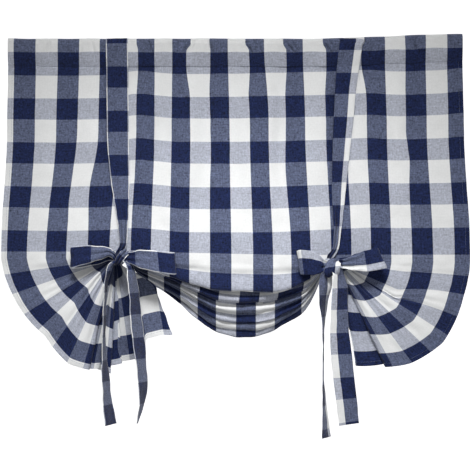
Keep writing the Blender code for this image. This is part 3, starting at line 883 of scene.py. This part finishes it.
def build_panel():
    upper = np.linspace(PANEL_TOP, GATHER_V, UPPER_ROWS)
    lower = np.linspace(GATHER_V, CLOTH_L, LOWER_ROWS)[1:]
    end_rows = CLOTH_L - np.array([END_HEM + HEM_STEP, END_HEM, EDGE_ROW])
    v = np.sort(np.concatenate([upper, lower, end_rows]))
    side = CLOTH_W / 2
    edges = side - np.array([SIDE_HEM + HEM_STEP, SIDE_HEM, EDGE_ROW])
    u = np.sort(np.concatenate([np.linspace(-side, side, PANEL_COLUMNS), edges, -edges]))
    grid_u, grid_v = np.meshgrid(u, v)
    places = panel_points(grid_u, grid_v)
    behind = fine_folds(places, grid_u, grid_v)
    rumple = sum(height * uneven(grid_u, grid_v, size, seed) for height, size, seed in RUMPLES)
    rumple = rumple * smooth((grid_v - PANEL_TOP) / RUMPLE_GROWS)
    places = places + normals_of(places) * rumple[..., None]
    places[..., 1] += behind - broad_pleats(places, grid_u, grid_v)
    hem_u = smooth((np.abs(grid_u) - (side - SIDE_HEM - HEM_STEP)) / HEM_STEP)
    hem_v = smooth((grid_v - (CLOTH_L - END_HEM - HEM_STEP)) / HEM_STEP)
    thick = lerp(CLOTH_T, HEM_T, np.maximum(hem_u, hem_v))
    panel = cloth_object("panel_cloth", places, np.stack([grid_u, grid_v], -1), thick)
    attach(panel, "root")
    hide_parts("panel")
    stitches = build_stitches("hem_stitches", hem_lines(places, u, v))


build_panel()

# ---------------------------------------------------------------------------------------------------------
# The rod pocket. The same cloth, folded over to the back and sewn down in one seam, and open at both ends for
# a rod that doesn't show. The rod is shorter than the cloth, which stands on it in small upright tucks and
# slanting puckers.
# ---------------------------------------------------------------------------------------------------------

ROD_SPACE_R = 0.0125
SEAM_R = 0.0011
POCKET_SLACK = 0.004
SEAM_STITCH_DROP = 0.0605
POCKET_BULGE = 0.0030
POCKET_COLUMNS = 640
# Points of the pocket's section: over the rod, round the seam, down the front and up the back
OVER_POINTS = 25
UNDER_POINTS = 7
FRONT_POINTS = 18
BEHIND_POINTS = 14
# Small slanting puckers in the front of the pocket, in millimetres, from near its top to near its middle
PUCKERS = table(
    "at lean width depth",
    (-206, 6, 3.2, 2.1),
    (-199, 12, 2.6, 4.6),
    (-146, 5, 3.2, 1.7),
    (-97, -7, 3.2, 4.6),
    (-58, 4, 3.6, 4.2),
    (-40, 6, 2.8, 2.1),
    (22, 12, 3.2, 4.2),
    (52, 10, 2.8, 2.7),
    (113, 26, 3.2, 5.0),
    (128, 22, 2.6, 2.9),
    (198, 27, 3.2, 5.0),
    (216, 18, 2.6, 2.5),
    (300, -14, 3.6, 2.9),
    (404, 10, 3.6, 2.9),
    (-330, 9, 3.6, 2.5),
    (-424, -8, 3.6, 2.5),
)
PUCKER_TOP = 0.005
PUCKER_TALL = 0.034
# Beside each pucker the cloth stands up in a ridge: its share of the depth, and how many widths away it is
RIDGE_SHARE = 0.45
RIDGE_AWAY = 2.0
PUCKER_BAND = {"from": 0.002, "grows": 0.008, "until": 0.026, "fades": 0.018}
# Small unevenness of the pocket's walls and of its level: height, size and seed. On the walls it is drawn out
# upright, so down the cloth it passes at this share of the pace.
RUMPLE_PACE = 0.3
POCKET_RUMPLES = ((0.0011, 0.045, 3.0), (0.0005, 0.021, 5.0))
POCKET_SWAY = (0.0008, 0.09, 6.0)
# The right end of the pocket hangs a little higher than the rest: how much, from where and over how far
RIGHT_LIFT = 0.0115
RIGHT_FROM = 0.14
RIGHT_GROWS = 0.44


def pocket_section():
    """The middle of the pocket's wall as depth and height, from behind the seam, over the rod and back."""
    big = ROD_SPACE_R + CLOTH_T / 2
    top_z = -CLOTH_T / 2 - big
    low_z = -POCKET_DROP + SEAM_R
    lean = math.asin((big - SEAM_R) / (top_z - low_z))
    over = [
        (big * math.cos(a), top_z + big * math.sin(a))
        for a in np.linspace(-lean, math.pi + lean, OVER_POINTS)
    ]
    under = [
        (SEAM_R * math.cos(a), low_z + SEAM_R * math.sin(a))
        for a in np.linspace(math.pi + lean, math.tau - lean, UNDER_POINTS)
    ]

    def wall(start, end, bulge, count):
        return [
            (lerp(start[0], end[0], t) - bulge * math.sin(math.pi * t), lerp(start[1], end[1], t))
            for t in np.linspace(0, 1, count)[1:-1]
        ]

    front = wall(over[-1], under[0], POCKET_BULGE, FRONT_POINTS)
    behind = wall(under[-1], over[0], 0.0, BEHIND_POINTS)
    return np.array(over + front + under + behind)


def puckered(x, drop):
    """How far the puckers sink in, by place across and drop from the top of the pocket."""
    share = np.clip((drop - PUCKER_TOP) / PUCKER_TALL, 0.0, 1.0)
    sunk = 0.0
    for row in PUCKERS:
        away = (x - (row["at"] + row["lean"] * share) / 1000) / (row["width"] / 1000)
        ridge = RIDGE_SHARE * np.exp(-((away - RIDGE_AWAY) ** 2))
        sunk = sunk + row["depth"] / 1000 * (np.exp(-(away**2)) - ridge)
    return sunk * band(drop, PUCKER_BAND)


def build_pocket():
    section = pocket_section()
    u = np.linspace(-CLOTH_W / 2, CLOTH_W / 2, POCKET_COLUMNS)
    depth, height = section[:, 0][:, None], section[:, 1][:, None]
    grid_u = np.broadcast_to(u, (len(section), len(u)))
    drop = -height + 0 * grid_u
    x = spread_x(grid_u, np.maximum(drop, 0.0))
    aside, sunk = pinched(x, drop)
    sunk = sunk + puckered(x, drop) * (depth < 0)
    small = sum(tall * uneven(grid_u, -RUMPLE_PACE * drop, size, seed) for tall, size, seed in POCKET_RUMPLES)
    free = np.clip(np.abs(depth) / ROD_SPACE_R, 0.0, 1.0)
    y = depth + ripple(grid_u, drop) + np.sign(depth) * (small - sunk) * free
    tall, size, seed = POCKET_SWAY
    z = -drop + tall * uneven(grid_u, -drop, size, seed) + RIGHT_LIFT * smooth((x - RIGHT_FROM) / RIGHT_GROWS)
    places = np.stack([x + aside, y, z], -1)
    run = np.concatenate([[0.0], np.cumsum(np.hypot(*np.diff(section, axis=0).T))])
    top = np.argmax(section[:, 1])
    front = np.where(np.arange(len(section)) >= top, run - run[top], run[top] - run) - POCKET_SLACK
    flat = np.stack([grid_u, np.broadcast_to(front[:, None], grid_u.shape)], -1)
    pocket = cloth_object("pocket_cloth", places, flat, CLOTH_T, closed=True)
    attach(pocket, "root")
    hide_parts("rod_pocket")
    out = normals_of(places, True) * (CLOTH_T / 2 + THREAD_LIFT)
    rows = [np.argmin(np.abs(height[:, 0] + SEAM_STITCH_DROP) + (way * depth[:, 0] < 0)) for way in (-1, 1)]
    stitches = build_stitches("pocket_stitches", [places[i] + out[i] for i in rows])


build_pocket()

# ---------------------------------------------------------------------------------------------------------
# The four straps. Double strips of the same cotton, one check wide, turned, pressed and sewn to the top of
# the pocket in pairs, one in front of the cloth and one behind it. Each pair ties the cloth up in a bow. A
# strap is a row of stations that carry its middle, its width and which way the width points.
# ---------------------------------------------------------------------------------------------------------

# Half of a strap's width, and half of the stretch of checks on its face, which is a little more, so that a
# line of the next stripe shows along its edges
STRAP_HALF = 0.0254
STRAP_FLAT_HALF = 0.0280
STRAP_T = 0.0020
# How far up the round top of the pocket it is sewn on, and its gap to the pocket there
STRAP_TOP = math.radians(55)
STRAP_GAP = 0.0007
STRAP_STEP = 0.004
STRAP_COLUMNS = 21
# A strap thins towards its pressed edges: how much, and how sharply
EDGE_THINNER = 0.85
EDGE_SHARP = 8
# Where a strap is squeezed narrow: the height of its long pleats, the most of its half width that they may
# be high, the number of waves across it, over how far and by how much they drift, and the most cloth that
# they take up. Its rumples: their height and size.
PLEAT_HEIGHT = 0.0021
PLEAT_SHARE = 0.30
PLEAT_WAVES = 2.2
PLEAT_DRIFT = 0.03
DRIFT_SHARE = 0.25
PLEAT_MOST = 1.6
STRAP_RUMPLE = 0.0007
STRAP_RUMPLE_SIZE = 0.05
# How far the middle of a hanging run stays off the cloth: in front, in metres, and behind, as so many times
# its distance from the pocket over the rod
RUN_AHEAD = 0.0040
RUN_BEHIND = 1.8
# The heights of its stations by the pocket, where evenly spaced ones start and how many there are, and how
# far below the last row but one of its table the run behind ends
RUN_HEIGHTS = [-0.030, -0.050, -0.066, -0.090]
RUN_EVEN_FROM = -0.120
RUN_EVEN = 11
BEHIND_ENDS_LOWER = 0.040
# How many places across the cloth and across a strap are read to find the face that the strap hangs by
CLOTH_PLACES = 400
STRAP_PLACES = 7
LEFT_RUN = table(
    "z x half",
    (0.000, -0.2701, 0.0253),
    (-0.114, -0.2697, 0.0252),
    (-0.240, -0.2683, 0.0253),
    (-0.290, -0.2654, 0.0229),
    (-0.341, -0.2620, 0.0205),
    (-0.389, -0.2585, 0.0150),
    (-0.435, -0.2560, 0.0105),
    (-0.470, -0.2550, 0.0080),
)
RIGHT_RUN = table(
    "z x half",
    (0.000, 0.2675, 0.0275),
    (-0.024, 0.2640, 0.0262),
    (-0.060, 0.2597, 0.0258),
    (-0.130, 0.2521, 0.0236),
    (-0.172, 0.2501, 0.0232),
    (-0.236, 0.2448, 0.0210),
    (-0.288, 0.2414, 0.0185),
    (-0.341, 0.2380, 0.0161),
    (-0.387, 0.2362, 0.0135),
    (-0.439, 0.2345, 0.0080),
    (-0.480, 0.2300, 0.0070),
)

# Places along each strap past its hanging run, in millimetres from the middle of its knot. half: half of its
# width there. lean: the angle of its width in the upright plane. turn: how far its width swings back.
PLACE_COLUMNS = ("x", "y", "z", "half", "lean", "turn")
STRAPS = {
    "front_left": {
        "side": "left",
        "into": ((0, -16.6, 14, 9, 0, 0), (-3, -17.4, 3, 8, -45, 0), (-9, -20, 1, 8, -85, 0)),
        "loop": (
            (-22, -24, 8, 14, -90, 0),
            (-54, -26, 4, 20, -90, 0),
            (-96, -28, 0, 24, -91, 6),
            (-111, -36, 1, 25, -91, 0),
            (-104, -43, 2, 24.5, -91, -6),
            (-78, -45, 7, 22, -91, -4),
            (-46, -43, 11, 16, -91, 0),
            (-22, -39, 13, 10, -90, 0),
        ),
        "out": ((-10, -35, 1, 8, -100, 0), (-9, -35, -6, 7, -140, -40)),
        "tail": (
            (-19, -38, -16, 9, -178, -65),
            (-26, -42, -39, 21, -176, -84),
            (-31, -42, -75, 25.4, -178, -86),
            (-33.5, -42, -130, 25.4, -180, -87),
            (-34.5, -42, -194, 25.4, -180, -86),
            (-33, -41, -235, 25.4, -180, -80),
            (-31, -40, -270, 25.4, -180, -74),
            (-28.5, -40, -312, 25.4, -180, -72),
            (-23, -39, -354, 25.4, -178, -66),
            (-19, -38, -379, 25.4, -176, -63),
        ),
    },
    "back_left": {
        "side": "left",
        "into": (
            (0, 4, 90, 13, 0, 0),
            (0, 11.5, 45, 11, 0, 0),
            (0, 16.5, 14, 8, 0, 0),
            (0, 18, 0, 7, 0, 0),
            (1, 16, -11, 6, 0, 0),
            (0, 6, -11.4, 7, 0, 0),
            (-2, -10, -11.6, 7, 0, 0),
            (-4, -25, -13, 8, -10, 0),
            (-4, -38, -12, 8, -25, 0),
            (0, -46, -4, 9, -38, 0),
            (6, -48, 4, 9, -44, 0),
            (13, -45, 12, 9, -40, 0),
            (17, -34, 14, 8, -40, 0),
            (16, -27, 8, 8, -60, 0),
        ),
        "loop": (
            (38, -30, -1, 17, -90, 0),
            (76, -32, -7, 23, -88, 0),
            (112, -34, -11, 25, -86, 6),
            (127, -41, -12, 25.4, -86, 0),
            (116, -48, -12, 25.4, -84, -6),
            (86, -50, -8, 25, -84, -3),
            (52, -48, -3, 22, -86, 0),
            (28, -43, 0, 14, -88, 0),
        ),
        "out": ((15, -39, 0, 8, -90, 0), (13, -39, -7, 8, -30, 20)),
        "tail": (
            (24, -43, -20, 15, 0, 62),
            (30, -45, -50, 25.4, 0, 68),
            (34.5, -45, -85, 25.4, 0, 66),
            (38.5, -45, -138, 25.4, 0, 62),
            (45.5, -45, -197, 25.4, 0, 61),
            (50.5, -45, -245, 25.4, 0, 67),
            (53, -45, -268, 25.4, 0, 66),
            (54.5, -45, -298, 25.4, 0, 71),
            (52.5, -45, -325, 25.4, 0, 77),
            (48, -45, -348, 25.4, 0, 82),
            (42, -45, -373, 25.4, 0, 87),
        ),
    },
    "front_right": {
        "side": "right",
        "into": ((0, -16.6, 14, 9, 0, 0), (-3, -17.4, 3, 8, 45, 0), (-8, -20, 0, 8, 85, 0)),
        "loop": (
            (-24, -24, -8, 13, 92, 0),
            (-50, -26, -8, 20, 93, 0),
            (-68, -29, -5, 24, 96, 4),
            (-75, -36, -2, 27, 99, 0),
            (-67, -43, -1, 29, 97, -6),
            (-48, -45, -2, 28, 95, -3),
            (-30, -43, -5, 22, 92, 0),
            (-18, -39, -7, 13, 90, 0),
        ),
        "out": ((-10, -36, -8, 9, 60, 0), (-11, -37, -18, 10, 15, 20)),
        "tail": (
            (-14, -40, -34, 17, 0, 30),
            (-15, -40, -55, 22, 0, 46),
            (-17, -40, -75, 25.4, 0, 60),
            (-18, -40, -96, 25.4, 0, 66),
            (-18.5, -40, -121, 25.4, 0, 75),
            (-19, -40, -153, 25.4, 0, 83),
            (-19.4, -40, -213, 25.4, 0, 86),
            (-19, -40, -279, 25.4, 0, 84),
            (-17.6, -40, -304, 25.4, 0, 79.5),
            (-16, -40, -339, 25.4, 0, 75.5),
            (-13.7, -40, -373, 25.4, 0, 70),
            (-11.4, -40, -399, 25.4, 0, 64.5),
        ),
    },
    "back_right": {
        "side": "right",
        "into": (
            (0, 4, 90, 13, 0, 0),
            (0, 11.5, 45, 11, 0, 0),
            (0, 16.5, 14, 8, 0, 0),
            (0, 18, 0, 7, 0, 0),
            (1, 16, -11, 6, 0, 0),
            (1, 6, -11.4, 7, 0, 0),
            (1, -10, -11.6, 8, 0, 0),
            (1, -25, -24, 12, 4, 0),
            (1, -41, -32, 15, 8, 0),
            (0, -52, -26, 17.5, 10, 0),
            (1, -56, -14, 18.5, 10, 0),
            (3, -51, -3, 17, 2, 0),
            (9, -37, 3, 11, -30, 0),
            (14, -27, 0, 8, -60, 0),
        ),
        "loop": (
            (32, -30, -3, 13, -88, 0),
            (62, -32, 0, 20, -82, 0),
            (98, -34, 6, 24, -72, 6),
            (114, -41, 9, 25, -66, 0),
            (104, -48, 7, 25, -70, -6),
            (78, -50, 2, 24, -80, -3),
            (50, -48, -2, 17, -86, 0),
            (28, -43, -4, 11, -90, 0),
        ),
        "out": ((14, -39, -4, 8, -110, 0), (13, -39, -12, 9, -150, -25)),
        "tail": (
            (15, -42, -26, 20, -180, -47),
            (18.5, -42, -56, 25.4, -180, -43),
            (18, -42, -76, 25.4, -180, -41),
            (17.4, -42, -112, 25.4, -180, -37),
            (17.6, -42, -158, 25.4, -180, -31),
            (21.7, -42, -210, 25.4, -180, -17),
            (27.5, -42, -268, 25.4, -178, -17),
            (33.6, -42, -316, 25.4, -176, -20),
            (39, -42, -369, 25.4, -175, -24),
        ),
    },
}
# Where each strap's check starts along its run, its loop and its tail, and how far the middle of its dark
# stripe lies from the middle of the strap, in millimetres
STRAP_CHECKS = {
    "front_left": {"run": 32.5, "loop": 82.3, "tail": 126.6, "shift": 0.0},
    "back_left": {"run": 32.5, "loop": 18.4, "tail": 127.6, "shift": 0.0},
    "front_right": {"run": 48.0, "loop": 67.0, "tail": 92.0, "shift": 15.7},
    "back_right": {"run": 48.0, "loop": 27.8, "tail": 95.6, "shift": 15.7},
}


def pocket_half(z):
    """Half of the pocket's outer depth at height z."""
    big = ROD_SPACE_R + CLOTH_T
    if z > -big:
        return math.sqrt(max(big * big - (z + big) ** 2, 0.0))
    return lerp(big, SEAM_R + CLOTH_T / 2, min((-z - big) / (POCKET_DROP - big), 1.0))


def cloth_face(x, z, half, front):
    """Depth of the cloth's face, front or back, over a strap's width at height z."""
    v = -z
    flat = np.linspace(-CLOTH_W / 2, CLOTH_W / 2, CLOTH_PLACES)
    level = np.full_like(flat, v)
    u = np.interp(x + half * np.linspace(-1, 1, STRAP_PLACES), spread_x(flat, level), flat)
    if v < POCKET_DROP:
        depths = ripple(u, np.full_like(u, v)) + pocket_half(z) * (-1 if front else 1)
    else:
        depths = panel_points(u, np.full_like(u, v))[..., 1] + CLOTH_T / 2 * (-1 if front else 1)
    return float(depths.min() if front else depths.max())


def station(x, y, z, half, lean, turn):
    lean, turn = math.radians(lean), math.radians(turn)
    width = (math.cos(turn) * math.cos(lean), math.sin(turn), math.cos(turn) * math.sin(lean))
    return {"at": np.array((x, y, z)), "width": np.array(width), "half": half}


def run_stations(rows, front):
    """The strap lies on the pocket and cloth, front or back, from the pocket's top to above the knot."""
    away = STRAP_GAP + STRAP_T / 2
    big = ROD_SPACE_R + CLOTH_T
    out = []
    for i in range(4):
        angle = STRAP_TOP * (1 - i / 4)
        z = -big + (big + away) * math.sin(angle)
        y = (big + away) * math.cos(angle) * (-1 if front else 1)
        out.append(station(rows[0]["x"], y, z, rows[0]["half"], 0, 0))
    away = -RUN_AHEAD if front else RUN_BEHIND * away
    lowest = rows[-1]["z"] if front else rows[-2]["z"] - BEHIND_ENDS_LOWER
    fall = [-row["z"] for row in rows]
    for z in [-big, *RUN_HEIGHTS, *np.linspace(RUN_EVEN_FROM, lowest, RUN_EVEN)]:
        x = float(np.interp(-z, fall, [row["x"] for row in rows]))
        half = float(np.interp(-z, fall, [row["half"] for row in rows]))
        out.append(station(x, cloth_face(x, z, half, front) + away, z, half, 0, 0))
    return out


def placed_stations(tie, rows):
    out = []
    for row in rows:
        at = dict(zip(PLACE_COLUMNS, row))
        x, z = tie["x"] + at["x"] / 1000, tie["z"] + at["z"] / 1000
        out.append(station(x, at["y"] / 1000, z, at["half"] / 1000, at["lean"], at["turn"]))
    return out


def curve_between(p0, p1, p2, p3, t):
    """A smooth curve through p1 and p2."""
    b = p2 - p0
    c = 2 * p0 - 5 * p1 + 4 * p2 - p3
    d = 3 * p1 - p0 - 3 * p2 + p3
    return (2 * p1 + b * t + c * t * t + d * t * t * t) / 2


def strap_stations(name):
    """All stations of a strap, each with where its check starts."""
    strap = STRAPS[name]
    tie, run = (LEFT, LEFT_RUN) if strap["side"] == "left" else (RIGHT, RIGHT_RUN)
    parts = [("run", run_stations(run, name.startswith("front")))]
    parts += [(key, placed_stations(tie, strap[key])) for key in ("into", "loop", "out", "tail")]
    starts = {**STRAP_CHECKS[name], "into": STRAP_CHECKS[name]["run"], "out": STRAP_CHECKS[name]["loop"]}
    out = []
    for key, stations in parts:
        out += [{**here, "start": starts[key] / 1000} for here in stations]
    return out


def build_strap(name, seed):
    """A ribbon through stations. Where it is gathered narrower than it is cut, it stands in long pleats."""
    stations = strap_stations(name)
    middles, widths, halves, starts = [], [], [], []
    last = len(stations) - 1
    for i in range(last):
        p0, p1 = stations[max(i - 1, 0)], stations[i]
        p2, p3 = stations[i + 1], stations[min(i + 2, last)]
        steps = max(1, round(float(np.linalg.norm(p2["at"] - p1["at"])) / STRAP_STEP))
        for k in range(steps + (i == last - 1)):
            t = k / steps
            middles.append(curve_between(p0["at"], p1["at"], p2["at"], p3["at"], t))
            widths.append(curve_between(p0["width"], p1["width"], p2["width"], p3["width"], t))
            halves.append(lerp(p1["half"], p2["half"], smooth(t)))
            starts.append(lerp(p1["start"], p2["start"], t))
    middles, widths = np.array(middles), unit(np.array(widths))
    halves, starts = np.array(halves)[:, None], np.array(starts)[:, None]
    across = np.linspace(-1, 1, STRAP_COLUMNS)
    outward = unit(np.cross(np.gradient(middles, axis=0), widths))
    taken_up = np.clip(STRAP_HALF / halves - 1, 0.0, PLEAT_MOST)
    pleats = np.minimum(PLEAT_HEIGHT, PLEAT_SHARE * halves) * np.sqrt(taken_up)
    run = np.concatenate([[0.0], np.cumsum(np.linalg.norm(np.diff(middles, axis=0), axis=1))])[:, None]
    wave = np.cos(math.pi * (PLEAT_WAVES * across + DRIFT_SHARE * np.sin(run / PLEAT_DRIFT + seed)))
    height = pleats * wave + STRAP_RUMPLE * uneven(across * STRAP_HALF, run, STRAP_RUMPLE_SIZE, seed)
    places = middles[:, None] + widths[:, None] * (halves * across)[..., None]
    places = places + outward[:, None] * height[..., None]
    flat_u = FIRST_DARK_U + CHECK / 2 + STRAP_CHECKS[name]["shift"] / 1000 + STRAP_FLAT_HALF * across
    flat = np.stack(np.broadcast_arrays(flat_u, run - starts), -1)
    thick = STRAP_T * np.sqrt(1 - EDGE_THINNER * np.abs(across) ** EDGE_SHARP)
    strap = cloth_object("strap_" + name + "_cloth", places, flat, thick)
    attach(strap, "root")
    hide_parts("strap_" + name)


for NUMBER, NAME in enumerate(STRAPS):
    build_strap(NAME, 1.0 + NUMBER)
